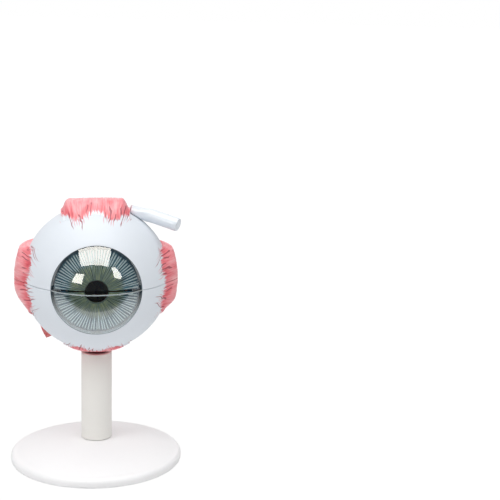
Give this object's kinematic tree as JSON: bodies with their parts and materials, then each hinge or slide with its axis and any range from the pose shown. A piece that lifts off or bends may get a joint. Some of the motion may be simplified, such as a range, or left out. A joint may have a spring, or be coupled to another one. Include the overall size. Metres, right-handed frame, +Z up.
{
  "type": "eye anatomy model",
  "caption": "Take-apart anatomy model of an eyeball with muscles, clear cornea, iris, lens and nested shells, on a round stand with an upright column.",
  "frame": {"origin": "on the table, under the middle of the round base and on the column's axis", "axes": "+Z up along the column; -Y forwards, the way the eye looks; +X towards the eye's nose side"},
  "size_m": [0.089, 0.089, 0.1384],
  "materials": {
    "stand_plastic": "satin moulded",
    "screw_steel": "zinc plated",
    "sclera_plastic": "semi-gloss moulded, painted",
    "clear_plastic": "polished clear",
    "muscle_paint": "hand painted, satin",
    "tendon_plastic": "semi-gloss",
    "socket_plastic": "moulded",
    "choroid_paint": "hand painted, satin",
    "retina_paint": "hand painted, satin",
    "ciliary_paint": "hand painted, satin",
    "iris_print": "painted, satin",
    "nerve_paint": "hand painted, satin"
  },
  "bodies": {
    "stand": {"base_disc": "stand_plastic", "column": "stand_plastic", "column_screw": "screw_steel"},
    "swivel_bush": {"stand_socket": "socket_plastic"},
    "lower_sclera": {"sclera_lower": "sclera_plastic", "cornea_lower": "clear_plastic", "lateral_rectus_lower": "muscle_paint", "medial_rectus_lower": "muscle_paint", "inferior_rectus": "muscle_paint", "inferior_oblique": "muscle_paint", "optic_nerve_lower": "nerve_paint", "locating_pin_1": "stand_plastic", "locating_pin_2": "stand_plastic", "locating_pin_3": "stand_plastic", "locating_pin_4": "stand_plastic"},
    "lower_choroid": {"choroid_lower": "choroid_paint", "retina_lower": "retina_paint", "ciliary_body_lower": "ciliary_paint", "iris_lower": "iris_print"},
    "vitreous": {"vitreous_body": "clear_plastic"},
    "lens": {"lens": "clear_plastic"},
    "upper_choroid": {"choroid_upper": "choroid_paint", "retina_upper": "retina_paint", "ciliary_body_upper": "ciliary_paint", "iris_upper": "iris_print"},
    "upper_sclera": {"sclera_upper": "sclera_plastic", "cornea_upper": "clear_plastic", "superior_rectus": "muscle_paint", "superior_oblique_tendon": "tendon_plastic", "lateral_rectus_upper": "muscle_paint", "medial_rectus_upper": "muscle_paint", "optic_nerve_upper": "nerve_paint"}
  },
  "joints": [
    {"name": "eye_swivel", "type": "hinge", "parent": "stand", "child": "swivel_bush", "pos_m": [0, 0, 0.0602], "axis": [0, 0, 1], "continuous": true},
    {"name": "eye_lift_off", "type": "slide", "parent": "swivel_bush", "child": "lower_sclera", "axis": [0, 0, 1], "range_m": [0, 0.03]},
    {"name": "lower_choroid_lift", "type": "slide", "parent": "lower_sclera", "child": "lower_choroid", "axis": [0, 0, 1], "range_m": [0, 0.04]},
    {"name": "vitreous_lift", "type": "slide", "parent": "lower_choroid", "child": "vitreous", "axis": [0, 0, 1], "range_m": [0, 0.04]},
    {"name": "upper_choroid_lift", "type": "slide", "parent": "vitreous", "child": "upper_choroid", "axis": [0, 0, 1], "range_m": [0, 0.04]},
    {"name": "upper_sclera_lift", "type": "slide", "parent": "upper_choroid", "child": "upper_sclera", "axis": [0, 0, 1], "range_m": [0, 0.04]},
    {"name": "lens_lift", "type": "slide", "parent": "vitreous", "child": "lens", "axis": [0, -0.3387, 0.9409], "range_m": [0, 0.02]}
  ],
  "couplings": [
    {"joint": "lens_lift", "follows": "upper_choroid_lift", "ratio": 0.5}
  ]
}
